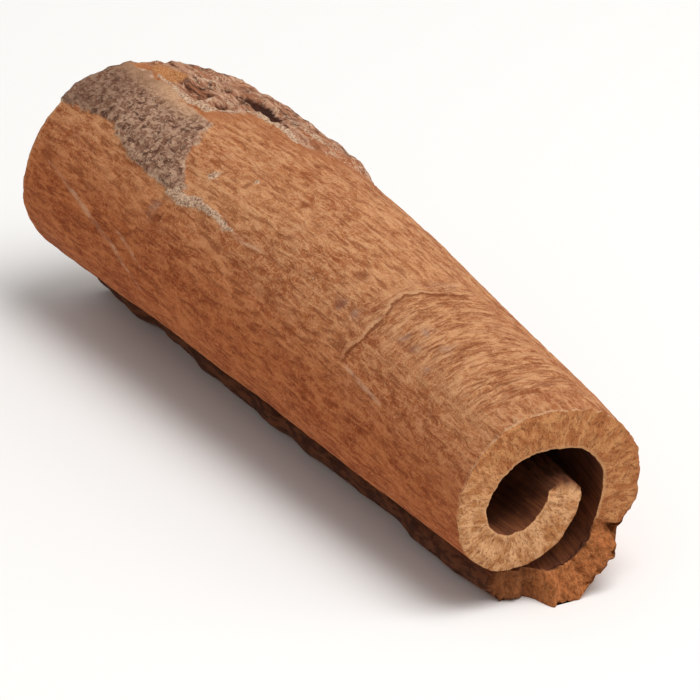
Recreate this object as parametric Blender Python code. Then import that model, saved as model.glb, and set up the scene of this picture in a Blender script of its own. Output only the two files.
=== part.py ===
# A cinnamon stick: a cut length of thick dried bark, curled into one scroll.
#
# The stick lies along Y on the plane z = 0. The end at -Y is the narrow one. An
# inner lip stands in its bore, the wall goes round the lip clockwise, and the
# outer wrap passes under the lip and ends in a torn edge. The foot, a straight
# run of the outer wrap, is the flat strip that the stick rests on.
# Every section has the same runs of bark, so the solid is a loft along Y from
# the narrow end to the wide one. Lengths are in metres and angles in degrees.

import math

import bmesh
import bpy

NODE_NAME = "quill"
COLLECTION_NAME = "cinnamon stick"

# Driving dimensions of the whole stick
LENGTH = 0.076            # between the two cut ends, without the torn tooth
BELLY = 0.04              # how much wider the middle is than a straight taper
BOW = 0.0005              # sideways bend of the middle
LIP_HEADING = 259.0       # way the bark runs at the lip's tip, from +X towards +Z
LIP_X_NEAR = 0.0010       # place of the lip's tip in each end section
LIP_X_FAR = 0.0027
LIP_WALL = 0.0033         # wall at the lip's tip

# Runs of bark from the lip's tip to the outer edge. Each has its length at the
# narrow and at the wide end, its clockwise turn, and the wall where it ends.
# The turns before the foot add up to the lip's heading and half a turn.
RUNS = (
    ("lip", 0.0069, 0.0086, 65.0, 0.0035),
    ("base curl", 0.0076, 0.0114, 115.0, 0.0028),
    ("left side", 0.0080, 0.0092, 60.0, 0.0035),
    ("crown", 0.0070, 0.0125, 49.0, 0.0035),
    ("shoulder", 0.0054, 0.0084, 55.0, 0.0037),
    ("right side", 0.0058, 0.0056, 34.0, 0.0034),
    ("under side", 0.0068, 0.0084, 61.0, 0.0028),
    ("foot", 0.0046, 0.0070, 0.0, 0.0028),
    ("outer edge", 0.0012, 0.0016, -8.0, 0.0022),
)
FOOT_RUN = 7              # place of the foot in RUNS

# Old cork stands proud of the shoulder at the wide end. Its bounds are places
# along the scroll, as run numbers, and shares of the stick's length.
CORK_HEIGHT = 0.0005
CORK_PLACES = (3.5, 3.9, 5.0, 5.6)
CORK_START = (0.66, 0.74)

# The two long edges of the bark are rounded: how far they bulge, as a part of
# the wall, and how square their corners stay.
EDGE_BULGE = 0.28
EDGE_SQUARENESS = 0.6

# Tears at the cut ends, measured outwards along Y. Places along the scroll are
# given as run numbers: 6.5 is half way along the run with index 6.
TOOTH = 0.0019            # the outer wrap's torn tooth at the narrow end
TOOTH_INNER_SHARE = 0.25  # how much of a tear reaches the inner face
TOOTH_RISE = (5.85, 6.25)
TOOTH_FALL = (7.05, 7.80)
TAIL_RECESS = 0.0014      # the outer edge stops short of the narrow end
FAR_CHIP = 0.0011         # a chip in the crown at the wide end
FAR_CHIP_CENTRE = 4.2
FAR_CHIP_WIDTH = 0.7
FAR_CHIP_FLAT = 0.3       # part of the chip's half width that is at full depth
RIPPLE = 0.00022          # uneven saw cut at both ends: its depth, its turn for
NEAR_RIPPLE = (1.7, 0.8)  # each run of bark in radians, and where it starts
FAR_RIPPLE = (2.1, 0.0)

# Fineness of the mesh
STEP_TURN = 12.0          # largest turn between two points of a section
STEP_LENGTH = 0.0026      # largest step between them, at the wide end
EDGE_POINTS = 3           # points round each rounded long edge
ROWS = 33                 # sections along Y

BARK_COLOUR = (0.447, 0.195, 0.087, 1.0)
BARK_ROUGHNESS = 0.85


def smooth_step(start, end, value):
    """0 before start, 1 after end, and a smooth rise between them."""
    share = min(max((value - start) / (end - start), 0.0), 1.0)
    return share * share * (3.0 - 2.0 * share)


def mix(near, far, along):
    return near + (far - near) * along


def run_steps(run):
    """Number of steps that one run of bark is divided into."""
    _, _, far_length, turn, _ = run
    return max(2, math.ceil(abs(turn) / STEP_TURN), math.ceil(far_length / STEP_LENGTH))


def cork_height(place, along):
    """How far the old cork stands out of the outer face."""
    rise_start, rise_end, fall_start, fall_end = CORK_PLACES
    across = smooth_step(rise_start, rise_end, place) - smooth_step(fall_start, fall_end, place)
    return CORK_HEIGHT * across * smooth_step(*CORK_START, along)


def scroll_path(along):
    """Centreline of the section at a share of the length, from the lip's tip.

    Each point is its place along the scroll, x, z, heading and wall. The
    section stands so that the outer face of its foot lies in z = 0.
    """
    belly = 1.0 + BELLY * math.sin(math.pi * min(max(along, 0.0), 1.0))
    x, z = 0.0, 0.0
    heading = math.radians(LIP_HEADING)
    wall = LIP_WALL
    points = [[0.0, x, z, heading, wall]]
    for index, run in enumerate(RUNS):
        _, near_length, far_length, turn, end_wall = run
        steps = run_steps(run)
        step_length = mix(near_length, far_length, along) * belly / steps
        step_turn = math.radians(turn) / steps
        for step in range(1, steps + 1):
            x += step_length * math.cos(heading - step_turn / 2)
            z += step_length * math.sin(heading - step_turn / 2)
            heading -= step_turn
            share = step / steps
            points.append([index + share, x, z, heading, mix(wall, end_wall, share)])
        wall = end_wall
    foot = next(point for point in points if point[0] >= FOOT_RUN)
    shift_x = mix(LIP_X_NEAR, LIP_X_FAR, along) + BOW * math.sin(math.pi * along)
    shift_z = foot[4] / 2 - foot[2]
    for point in points:
        point[1] += shift_x
        point[2] += shift_z
    return points


def rounded_edge(point, ahead):
    """Points round a long edge, from the outer face to the inner one."""
    _, x, z, heading, wall = point
    run_x, run_z = math.cos(heading) * ahead, math.sin(heading) * ahead
    out_x, out_z = -math.sin(heading), math.cos(heading)
    edge = []
    for count in range(1, EDGE_POINTS + 1):
        angle = math.pi * count / (EDGE_POINTS + 1)
        cosine = round(math.cos(angle), 9)
        across = math.copysign(abs(cosine) ** EDGE_SQUARENESS, cosine)
        across *= wall / 2
        bulge = math.sin(angle) ** EDGE_SQUARENESS * wall * EDGE_BULGE
        edge.append((x + out_x * across + run_x * bulge, z + out_z * across + run_z * bulge))
    return edge


def section_loop(along):
    """Closed outline of one section: outer face, outer edge, inner face, lip."""
    path = scroll_path(along)
    outer, inner = [], []
    for place, x, z, heading, wall in path:
        out_x, out_z = -math.sin(heading), math.cos(heading)
        half = wall / 2 + cork_height(place, along)
        outer.append((x + out_x * half, z + out_z * half))
        inner.append((x - out_x * wall / 2, z - out_z * wall / 2))
    outer_edge = rounded_edge(path[-1], 1.0)
    lip_edge = rounded_edge(path[0], -1.0)
    return outer + outer_edge + inner[::-1] + lip_edge[::-1]


def outline_places():
    """Place along the scroll, and share of a tear, of each outline point."""
    places = [point[0] for point in scroll_path(0.0)]
    edge_shares = [1.0 - count / (EDGE_POINTS + 1) for count in range(1, EDGE_POINTS + 1)]
    outline = [(place, 1.0) for place in places]
    outline += [(places[-1], share) for share in edge_shares]
    outline += [(place, 0.0) for place in reversed(places)]
    outline += [(places[0], share) for share in reversed(edge_shares)]
    return outline


def tear_share(outer_share):
    return mix(TOOTH_INNER_SHARE, 1.0, outer_share)


def ripple(place, wave):
    turn, start = wave
    return RIPPLE * math.sin(turn * place + start)


def near_end(place, outer_share):
    """How far the narrow end reaches out past its cut, at one outline point."""
    tooth = TOOTH * smooth_step(*TOOTH_RISE, place) * tear_share(outer_share)
    fall = (TOOTH * tear_share(outer_share) + TAIL_RECESS) * smooth_step(*TOOTH_FALL, place)
    return tooth - fall + ripple(place, NEAR_RIPPLE)


def far_end(place, outer_share):
    """How far the wide end reaches out past its cut, at one outline point."""
    off_centre = abs(place - FAR_CHIP_CENTRE) / FAR_CHIP_WIDTH
    chip = FAR_CHIP * (1.0 - smooth_step(FAR_CHIP_FLAT, 1.0, off_centre)) * tear_share(outer_share)
    return ripple(place, FAR_RIPPLE) - chip


def quill_mesh():
    """The scroll as one closed solid, lofted row by row along Y."""
    places = outline_places()
    columns = len(places)
    wall_points = (columns - 2 * EDGE_POINTS) // 2
    mesh = bmesh.new()
    rows = []
    for row in range(ROWS):
        share = row / (ROWS - 1)
        verts = []
        for column, (place, outer_share) in enumerate(places):
            near_y = -LENGTH / 2 - near_end(place, outer_share)
            far_y = LENGTH / 2 + far_end(place, outer_share)
            y = mix(near_y, far_y, share)
            x, z = section_loop(y / LENGTH + 0.5)[column]
            verts.append(mesh.verts.new((x, y, z)))
        rows.append(verts)
    for near_row, far_row in zip(rows, rows[1:]):
        for column in range(columns):
            after = (column + 1) % columns
            mesh.faces.new((near_row[column], near_row[after], far_row[after], far_row[column]))
    for end_row in (rows[0], rows[-1]):
        add_end_face(mesh, end_row, wall_points)
    bmesh.ops.recalc_face_normals(mesh, faces=mesh.faces)
    bmesh.ops.triangulate(mesh, faces=mesh.faces)
    return mesh


def add_end_face(mesh, row, wall_points):
    """Close one cut end across the wall, one strip for each step of bark."""
    outer = row[:wall_points]
    outer_edge = row[wall_points:wall_points + EDGE_POINTS]
    inner = row[wall_points + EDGE_POINTS:2 * wall_points + EDGE_POINTS][::-1]
    lip_edge = row[2 * wall_points + EDGE_POINTS:]
    for index in range(wall_points - 1):
        mesh.faces.new((outer[index], inner[index], inner[index + 1], outer[index + 1]))
    mesh.faces.new([outer[-1]] + outer_edge + [inner[-1]])
    mesh.faces.new([inner[0]] + lip_edge + [outer[0]])


def centre_on_origin(mesh):
    """Move the solid so that the middle of its underside is at the origin."""
    for axis in (0, 1):
        values = [vert.co[axis] for vert in mesh.verts]
        middle = (min(values) + max(values)) / 2
        for vert in mesh.verts:
            vert.co[axis] -= middle


def bark_material():
    material = bpy.data.materials.new("dried cassia bark")
    material.use_nodes = True
    shader = material.node_tree.nodes["Principled BSDF"]
    shader.inputs["Base Color"].default_value = BARK_COLOUR
    shader.inputs["Roughness"].default_value = BARK_ROUGHNESS
    shader.inputs["Metallic"].default_value = 0.0
    return material


def build():
    for old in list(bpy.data.objects):
        bpy.data.objects.remove(old, do_unlink=True)
    collection = bpy.data.collections.new(COLLECTION_NAME)
    bpy.context.scene.collection.children.link(collection)

    solid = quill_mesh()
    centre_on_origin(solid)
    mesh = bpy.data.meshes.new(NODE_NAME)
    solid.to_mesh(mesh)
    solid.free()
    mesh.materials.append(bark_material())
    mesh.shade_smooth()
    mesh.set_sharp_from_angle(angle=math.radians(40.0))
    collection.objects.link(bpy.data.objects.new(NODE_NAME, mesh))


build()
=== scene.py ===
import math

import bpy
import numpy as np
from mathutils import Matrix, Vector, noise


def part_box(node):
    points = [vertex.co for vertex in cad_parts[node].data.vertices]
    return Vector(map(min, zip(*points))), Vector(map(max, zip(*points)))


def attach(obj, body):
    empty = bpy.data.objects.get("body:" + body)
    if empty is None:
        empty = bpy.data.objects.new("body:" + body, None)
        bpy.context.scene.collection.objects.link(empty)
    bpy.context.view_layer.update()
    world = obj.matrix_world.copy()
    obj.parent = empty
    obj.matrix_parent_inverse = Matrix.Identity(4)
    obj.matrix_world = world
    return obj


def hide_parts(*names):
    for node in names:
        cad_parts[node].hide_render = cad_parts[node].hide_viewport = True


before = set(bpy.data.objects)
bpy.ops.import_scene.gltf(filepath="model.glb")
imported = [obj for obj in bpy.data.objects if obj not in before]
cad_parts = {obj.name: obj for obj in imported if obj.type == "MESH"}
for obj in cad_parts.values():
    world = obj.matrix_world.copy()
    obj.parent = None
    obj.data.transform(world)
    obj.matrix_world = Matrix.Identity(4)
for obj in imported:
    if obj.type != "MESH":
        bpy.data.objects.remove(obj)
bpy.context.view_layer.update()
cadLow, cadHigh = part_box("quill")

mm = 0.001

# One stick of thick cassia bark, curled while it dried. It is laid out as a flat
# sheet first, worn and torn there, and then rolled up along the scroll.


def deselectAll():
    if bpy.context.object and bpy.context.object.mode != "OBJECT":
        bpy.ops.object.mode_set(mode="OBJECT")
    bpy.ops.object.select_all(action="DESELECT")


def makeActive(piece):
    deselectAll()
    piece.select_set(True)
    bpy.context.view_layer.objects.active = piece


def readPoints(piece):
    points = np.zeros(len(piece.data.vertices) * 3)
    piece.data.vertices.foreach_get("co", points)
    return points.reshape(-1, 3)


def writePoints(piece, points):
    piece.data.vertices.foreach_set("co", points.ravel())
    piece.data.update()


def fade(start, end, value):
    share = np.clip((value - start) / (end - start), 0.0, 1.0)
    return share * share * (3.0 - 2.0 * share)


def grainNoise(x, y, sizeX, sizeY, seed):
    # soft noise from -1 to 1 whose grains are sizeX by sizeY
    return np.array([noise.noise(Vector((a, b, seed))) for a, b in zip(x / sizeX, y / sizeY)]) * 1.6


scroll = {
    "cutLength": 76.0,                 # mm between the two cuts
    "belly": 0.04,                     # how much wider the middle is than a straight taper
    "bow": 0.5,                        # mm sideways
    "lipHeading": 259.0,               # degrees, from +X towards +Z
    "lipX": (1.0, 2.7),                # mm, narrow end and wide end
    "lipWall": 3.3,
    "runs": [                          # mm at the narrow end, mm at the wide end, degrees turned, wall at its end
        (6.9, 8.6, 65.0, 3.5),         # lip
        (7.6, 11.4, 115.0, 2.8),       # curl at the lip's base
        (8.0, 9.2, 60.0, 3.5),         # left side
        (7.0, 12.5, 49.0, 3.5),        # crown
        (5.4, 8.4, 55.0, 3.7),         # shoulder
        (5.8, 5.6, 34.0, 3.4),         # right side
        (6.8, 8.4, 61.0, 2.8),         # under side
        (4.6, 7.0, 0.0, 2.8),          # foot
        (1.2, 1.6, -8.0, 2.2),         # outer edge
    ],
    "foot": 7,                         # the run that lies flat
    "crown": 3,                        # the run that distances round the stick start from
    "edgeAngle": 64.0,                 # degrees that each long edge's arc turns to either side
    "tooth": 1.9, "toothInner": 0.25,  # the outer wrap's torn tooth at the narrow end
    "toothRise": (5.85, 6.25), "toothFall": (7.12, 7.42), "tailRecess": 1.4,
    "chip": 1.1, "chipCentre": 4.2, "chipWidth": 0.7, "chipFlat": 0.3,
    "ripple": 0.22, "nearRipple": (1.7, 0.8), "farRipple": (2.1, 0.0),
    # the wide end was cut a little askew: how far it stands out, in mm, at these places
    "askewPlaces": (0.0, 1.0, 2.0, 2.9, 3.1, 3.25, 3.45, 3.6, 3.8, 4.0, 4.3, 5.0, 6.0, 7.0, 9.0),
    "askew": (0.5, 0.9, 1.5, 1.8, 1.35, 0.95, 0.4, 0.1, -0.2, -0.45, -0.5, -0.3, -0.1, 0.1, 0.5),
}


def runLengths(along):
    belly = 1.0 + scroll["belly"] * np.sin(np.pi * np.clip(along, 0.0, 1.0))
    return [(near + (far - near) * along) * belly for near, far, _, _ in scroll["runs"]]


def walkScroll(place, along):
    # centreline, heading and wall of the bark at places counted in runs from the lip
    x, z = np.zeros_like(place), np.zeros_like(place)
    heading = np.full_like(place, math.radians(scroll["lipHeading"]))
    wall = np.full_like(place, scroll["lipWall"])
    before = scroll["lipWall"]
    for index, length in enumerate(runLengths(along)):
        turn, endWall = scroll["runs"][index][2:]
        share = np.clip(place - index, 0.0, 1.0)
        bend = math.radians(turn)
        if bend:
            x += length / bend * (np.sin(heading) - np.sin(heading - bend * share))
            z += length / bend * (np.cos(heading - bend * share) - np.cos(heading))
        else:
            x += length * share * np.cos(heading)
            z += length * share * np.sin(heading)
        heading = heading - bend * share
        wall = np.where(share > 0, before + (endWall - before) * share, wall)
        before = endWall
    return x, z, heading, wall


def scrollAt(place, along):
    x, z, heading, wall = walkScroll(place, along)
    footZ = walkScroll(np.full_like(place, float(scroll["foot"])), along)[1]
    footWall = scroll["runs"][scroll["foot"] - 1][3]
    nearX, farX = scroll["lipX"]
    x = x + nearX + (farX - nearX) * along + scroll["bow"] * np.sin(np.pi * along)
    return x, z - footZ + footWall / 2, heading, wall


def roundDistance(place, along):
    # mm round the outer face from the start of the crown
    distance = np.zeros_like(place)
    before = scroll["lipWall"]
    for index, length in enumerate(runLengths(along)):
        turn, endWall = scroll["runs"][index][2:]
        outer = length + math.radians(turn) * (before + endWall) / 4
        passed = np.clip(place - index, 0.0, 1.0) - (1.0 if index < scroll["crown"] else 0.0)
        distance += outer * passed
        before = endWall
    return distance


def nearReach(place, outerShare):
    tear = scroll["toothInner"] + (1.0 - scroll["toothInner"]) * outerShare
    tooth = scroll["tooth"] * tear * fade(*scroll["toothRise"], place)
    fall = (scroll["tooth"] * tear + scroll["tailRecess"]) * fade(*scroll["toothFall"], place)
    turn, start = scroll["nearRipple"]
    return tooth - fall + scroll["ripple"] * np.sin(turn * place + start)


def farReach(place, outerShare):
    tear = scroll["toothInner"] + (1.0 - scroll["toothInner"]) * outerShare
    off = np.abs(place - scroll["chipCentre"]) / scroll["chipWidth"]
    turn, start = scroll["farRipple"]
    chip = scroll["chip"] * (1.0 - fade(scroll["chipFlat"], 1.0, off)) * tear
    return scroll["ripple"] * np.sin(turn * place + start) - chip


sheet = {
    "grain": 0.29,                     # mm between points
    "thickness": 3.0,                  # mm, made the true wall when it is rolled
    "wallCuts": 13,                    # points across the wall on the cut ends
    "thinFrom": 3.0,                   # mm from a cut end where the hidden faces start to get fewer points
    "keptShare": 0.62,                 # of the faces kept when those are thinned
}


def outerKnots():
    # flat distance of each run's start, measured on the outer face half way along
    middle = np.array([0.5])
    knots, before, total = [0.0], scroll["lipWall"], 0.0
    for index, length in enumerate(runLengths(middle)):
        turn, endWall = scroll["runs"][index][2:]
        total += float(length[0]) + math.radians(turn) * (before + endWall) / 4
        knots.append(total)
        before = endWall
    return np.array(knots)


def layFlatSheet():
    width = outerKnots()[-1]
    columns = round(width / sheet["grain"])
    rows = round(scroll["cutLength"] / sheet["grain"])
    bpy.ops.mesh.primitive_grid_add(x_subdivisions=columns, y_subdivisions=rows, size=1.0)
    piece = bpy.context.object
    piece.name = "barkQuill"
    piece.data.name = "barkQuill"
    bpy.ops.transform.resize(value=(width * mm, scroll["cutLength"] * mm, 1.0))
    bpy.ops.transform.translate(value=(width * mm / 2, 0.0, 0.0))
    bpy.ops.object.transform_apply(location=True, rotation=False, scale=True)
    for slotName in ("outer", "inner", "cut"):
        piece.data.materials.append(None)
    solid = piece.modifiers.new("wall", "SOLIDIFY")
    solid.thickness = sheet["thickness"] * mm
    solid.offset = 0.0
    solid.material_offset = 1
    solid.material_offset_rim = 2
    bpy.ops.object.modifier_apply(modifier=solid.name)
    # points across the wall, on all four narrow sides
    points = readPoints(piece)
    ends = np.zeros(len(piece.data.edges) * 2, int)
    piece.data.edges.foreach_get("vertices", ends)
    ends = ends.reshape(-1, 2)
    across = np.abs(points[ends[:, 0], 2] - points[ends[:, 1], 2]) > sheet["thickness"] * mm / 2
    bpy.ops.object.mode_set(mode="EDIT")
    bpy.ops.mesh.select_mode(type="EDGE")
    bpy.ops.mesh.select_all(action="DESELECT")
    bpy.ops.object.mode_set(mode="OBJECT")
    piece.data.edges.foreach_set("select", across)
    bpy.ops.object.mode_set(mode="EDIT")
    bpy.ops.mesh.subdivide(number_cuts=sheet["wallCuts"])
    bpy.ops.mesh.select_all(action="SELECT")
    bpy.ops.mesh.normals_make_consistent(inside=False)
    bpy.ops.object.mode_set(mode="OBJECT")
    print("flat sheet", columns, "by", rows, "faces", len(piece.data.polygons))
    return piece


def measureSheet(piece):
    # where every point of the sheet comes to lie in the scroll, before any wear
    flat = readPoints(piece) / mm
    knots = outerKnots()
    bark = {"place": np.interp(flat[:, 0], knots, np.arange(len(knots)))}
    share = np.clip(flat[:, 2] / sheet["thickness"] + 0.5, 0.0, 1.0)
    bark["atLip"] = flat[:, 0] < 1e-4
    bark["atLong"] = bark["atLip"] | (flat[:, 0] > knots[-1] - 1e-4)
    bark["atNear"] = flat[:, 1] < -scroll["cutLength"] / 2 + 1e-4
    bark["atFar"] = flat[:, 1] > scroll["cutLength"] / 2 - 1e-4
    # the points on the cuts stand closer together near the bark's two faces
    bark["outerShare"] = np.where(bark["atNear"] | bark["atFar"], 0.5 - np.cos(np.pi * share) / 2, share)
    nearY = -scroll["cutLength"] / 2 - nearReach(bark["place"], bark["outerShare"])
    farY = scroll["cutLength"] / 2 + farReach(bark["place"], bark["outerShare"])
    flatShare = flat[:, 1] / scroll["cutLength"] + 0.5
    y = nearY + (farY - nearY) * flatShare
    bark["along"] = y / scroll["cutLength"] + 0.5
    x, z, heading, wall = scrollAt(bark["place"], bark["along"])
    # the two long edges are arcs, and the bark thins towards them to meet the arcs
    widest = math.radians(scroll["edgeAngle"])
    turned = widest * (2.0 * bark["outerShare"] - 1.0)
    ahead = np.where(bark["atLip"], -1.0, 1.0) * bark["atLong"]
    bulge = (np.cos(turned) - math.cos(widest)) * wall / 2 * ahead
    fromEdge = np.minimum(flat[:, 0], knots[-1] - flat[:, 0])
    short = np.clip(math.cos(widest) - 2.0 * fromEdge / wall, 0.0, 1.0)
    thinned = (bark["outerShare"] - 0.5) * np.sqrt(1.0 - short * short)
    depth = np.where(bark["atLong"], np.sin(turned) / 2, thinned) * wall
    bark["out"] = np.stack([-np.sin(heading), np.zeros_like(x), np.cos(heading)], 1)
    bark["ahead"] = np.stack([np.cos(heading), np.zeros_like(x), np.sin(heading)], 1)
    bark["points"] = np.stack([x, y, z], 1) + bark["out"] * depth[:, None] + bark["ahead"] * bulge[:, None]
    low, high = bark["points"].min(0), bark["points"].max(0)
    for axis in (0, 1):
        bark["points"][:, axis] += (cadLow[axis] + cadHigh[axis]) / 2 / mm - (low[axis] + high[axis]) / 2
    askew = np.interp(bark["place"], scroll["askewPlaces"], scroll["askew"])
    bark["points"][:, 1] += askew * fade(0.55, 1.0, flatShare)
    bark["fromCut"] = np.minimum(flatShare, 1.0 - flatShare) * scroll["cutLength"]
    bark["round"] = roundDistance(bark["place"], bark["along"])
    bark["wall"] = wall
    return bark


# Places on the outer face are mm round from the start of the crown and mm along
# the stick, the narrow end at about -38 and the wide end at about 38.
marks = {
    "corkEdge": [(-3.4, 43.0), (-2.9, 38.4), (-2.5, 35.8), (-2.1, 33.0), (-2.4, 31.0), (-3.2, 28.8), (-3.8, 25.6), (-3.8, 22.6),
                 (-3.7, 20.4), (-4.6, 19.2), (-4.2, 18.0), (-3.0, 17.6), (-2.3, 18.9), (-1.4, 19.9), (-0.2, 21.2),
                 (1.1, 22.5), (2.2, 23.7), (3.3, 23.8), (4.4, 24.8), (4.4, 27.6), (4.2, 30.0), (4.8, 33.4),
                 (4.6, 35.6), (4.8, 43.0)],
    "roughEdge": [(5.3, 43.0), (5.3, 36.0), (5.2, 34.0), (4.9, 31.0), (5.1, 28.6), (5.7, 27.2), (6.8, 26.6), (7.9, 26.0),
                  (9.3, 25.4), (9.8, 23.6), (9.7, 21.4), (9.5, 19.0), (10.4, 17.6), (11.6, 16.4), (13.0, 15.4), (16.0, 15.8),
                  (19.5, 18.8), (23.0, 18.0), (26.0, 22.0), (27.0, 30.0), (25.0, 43.0)],
    "crustLines": [([(-4.3, 19.4), (-3.8, 18.4), (-3.5, 16.4), (-3.1, 14.4)], 1.15),
                   ([(-3.2, 16.0), (-3.0, 12.1), (-3.3, 9.0)], 1.05),
                   ([(5.2, 37.0), (5.1, 33.6), (4.7, 31.0), (4.9, 29.0), (5.4, 27.8), (6.8, 27.2), (7.9, 26.3)], 0.95),
                   ([(5.3, 29.6), (6.4, 29.2), (7.6, 29.6)], 0.6),
                   ([(8.1, 26.2), (9.5, 25.6), (9.8, 23.1), (9.6, 21.1), (9.4, 18.9), (10.4, 17.7)], 0.85),
                   ([(8.2, 36.2), (8.6, 34.2), (9.2, 32.4), (10.9, 31.4)], 0.45),
                   ([(11.3, 22.4), (11.9, 19.9), (12.3, 17.2)], 0.7)],
    "hollows": [(6.7, 31.7, 0.85, 2.3), (7.0, 28.1, 0.55, 0.9), (9.6, 30.6, 0.5, 1.4), (12.9, 26.5, 0.6, 2.0)],
    "slit": [(9.8, 29.9), (10.3, 28.4), (10.6, 26.8), (10.6, 25.2), (10.3, 23.6)],
    "barkCracks": [([(7.9, 34.6), (8.2, 32.4), (8.5, 30.6)], 0.3),
                   ([(12.6, 33.0), (13.0, 28.2), (14.2, 24.0)], 0.4),
                   ([(16.4, 36.0), (16.9, 30.0), (16.2, 24.0)], 0.5),
                   ([(20.4, 34.0), (21.0, 27.0), (20.2, 22.0)], 0.5)],
    "peelEdge": [(-6.0, -14.1), (-4.6, -14.0), (-3.6, -14.5), (-2.4, -14.3), (-1.2, -14.5), (-0.3, -14.2), (0.9, -13.3),
                 (2.3, -12.9), (3.2, -13.1), (4.0, -13.5), (5.0, -14.1), (5.9, -14.2), (7.0, -14.6), (8.6, -14.4)],
    "fineCracks": [[(-1.6, -30.5), (-0.2, -30.8), (1.0, -30.7), (2.4, -31.0), (3.4, -30.8), (5.2, -30.7)],
                   [(-4.4, 18.6), (-5.3, 18.1), (-6.6, 18.2), (-7.9, 18.0)],
                   [(16.0, -8.0), (16.6, -16.0), (16.2, -22.0)],
                   [(21.0, 4.0), (20.4, -6.0), (20.9, -12.0)]],
    "scratches": [([(-3.25, 10.2), (-3.4, 6.9), (-3.3, 5.9), (-2.9, 3.0)], 0.32),
                  ([(-8.2, 37.0), (-8.6, 34.4), (-9.3, 31.4), (-10.2, 27.6), (-11.2, 23.8), (-12.4, 21.0), (-13.5, 18.6)], 0.42),
                  ([(-9.7, 23.5), (-10.7, 20.3), (-11.3, 18.6)], 0.32),
                  ([(-6.0, -14.3), (-6.2, -16.4), (-6.4, -18.8), (-6.6, -21.8)], 0.32)],
    "pits": [(0.3, 26.6), (0.5, 25.2), (-0.8, 26.3), (-0.7, 24.9), (2.5, 36.6), (1.2, 32.4), (-0.5, 35.6), (2.4, 31.0),
             (-1.6, 22.0)],
    "specks": [(-0.1, 16.4, 0.85), (2.1, 12.6, 0.5), (-2.2, -3.8, 0.3), (0.9, -36.9, 0.45), (0.0, -35.9, 0.35)],
    "dimples": [(1.0, -7.6, 1.1, 0.16), (-2.0, -9.0, 0.8, 0.12), (-0.4, -0.6, 0.4, 0.12), (-4.3, -10.3, 0.7, 0.08),
                (6.0, 4.0, 0.8, 0.08), (12.5, -2.0, 0.9, 0.1), (-8.0, 8.0, 1.0, 0.08), (17.0, 8.0, 1.0, 0.12)],
    "smudges": [(-0.8, -18.3, 0.9), (1.2, -19.6, 1.0), (-0.8, -20.4, 1.1), (0.8, -22.9, 1.0), (-1.9, -11.9, 1.0),
                (-2.0, -9.0, 0.9), (6.3, -12.4, 1.5), (-1.8, -23.9, 0.8), (0.4, -23.6, 0.8), (-5.8, 19.6, 1.2)],
    "darkSpots": [(1.0, -7.6, 1.0), (-2.0, -8.9, 0.7), (-0.8, -0.6, 0.4), (-6.4, 18.6, 0.7), (2.9, 6.6, 0.4), (1.4, 12.9, 0.6),
                  (0.6, 16.1, 0.5)],
    "bareSpot": (6.2, 36.6, 1.5),
}


def lineDistance(u, v, points):
    best = np.full_like(u, 1e9)
    for (u0, v0), (u1, v1) in zip(points, points[1:]):
        du, dv = u1 - u0, v1 - v0
        share = np.clip(((u - u0) * du + (v - v0) * dv) / (du * du + dv * dv), 0.0, 1.0)
        best = np.minimum(best, np.hypot(u - u0 - du * share, v - v0 - dv * share))
    return best


def insideDistance(u, v, points):
    # mm inside the closed outline, less than nothing outside
    closed = points + points[:1]
    inside = np.zeros(len(u), bool)
    for (u0, v0), (u1, v1) in zip(closed, closed[1:]):
        crosses = (v0 > v) != (v1 > v)
        reach = u0 + (v - v0) * (u1 - u0) / (v1 - v0 if v1 != v0 else 1e-9)
        inside ^= crosses & (u < reach)
    return np.where(inside, 1.0, -1.0) * lineDistance(u, v, closed)


def strokeDistance(u, v, points, width):
    # mm inside a stroke that narrows to both ends
    lengths = [math.dist(a, b) for a, b in zip(points, points[1:])]
    total, walked, best = sum(lengths), 0.0, np.full_like(u, -1e9)
    for (u0, v0), (u1, v1), length in zip(points, points[1:], lengths):
        share = np.clip(((u - u0) * (u1 - u0) + (v - v0) * (v1 - v0)) / length ** 2, 0.0, 1.0)
        off = np.hypot(u - u0 - (u1 - u0) * share, v - v0 - (v1 - v0) * share)
        place = (walked + share * length) / total
        best = np.maximum(best, width / 2 * (0.35 + 0.65 * np.sin(np.pi * place) ** 0.7) - off)
        walked += length
    return best


def roughen(piece, name, size, depth, group, detail=2, basis="ORIGINAL_PERLIN"):
    # clouds whose grains are size mm round the stick and along it, up to depth mm high in all
    texture = bpy.data.textures.new(name, "CLOUDS")
    texture.noise_basis = basis
    texture.noise_scale = 1.0
    texture.noise_depth = detail
    guide = bpy.data.objects.new(name, None)
    bpy.context.scene.collection.objects.link(guide)
    guide.scale = (size[0] * mm, size[1] * mm, 1.0)
    guide.location = (0.0, 0.0, size[0] * 0.37)
    bpy.context.view_layer.update()
    wear = piece.modifiers.new(name, "DISPLACE")
    wear.texture = texture
    wear.texture_coords = "OBJECT"
    wear.texture_coords_object = guide
    wear.direction = "Z"
    wear.mid_level = 0.5
    wear.strength = depth * mm
    wear.vertex_group = group
    bpy.ops.object.modifier_apply(modifier=name)
    bpy.data.objects.remove(guide)


def paintGroup(piece, name, weights):
    group = piece.vertex_groups.new(name=name)
    for level in range(1, 11):
        members = np.nonzero(np.round(weights * 10).astype(int) == level)[0]
        if len(members):
            group.add(members.tolist(), level / 10, "REPLACE")


def saveAttribute(piece, name, values):
    if values.ndim == 1:
        attribute = piece.data.attributes.new(name, "FLOAT", "POINT")
        attribute.data.foreach_set("value", values.astype(np.float32))
    else:
        attribute = piece.data.attributes.new(name, "FLOAT_VECTOR", "POINT")
        attribute.data.foreach_set("vector", values.astype(np.float32).ravel())


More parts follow.
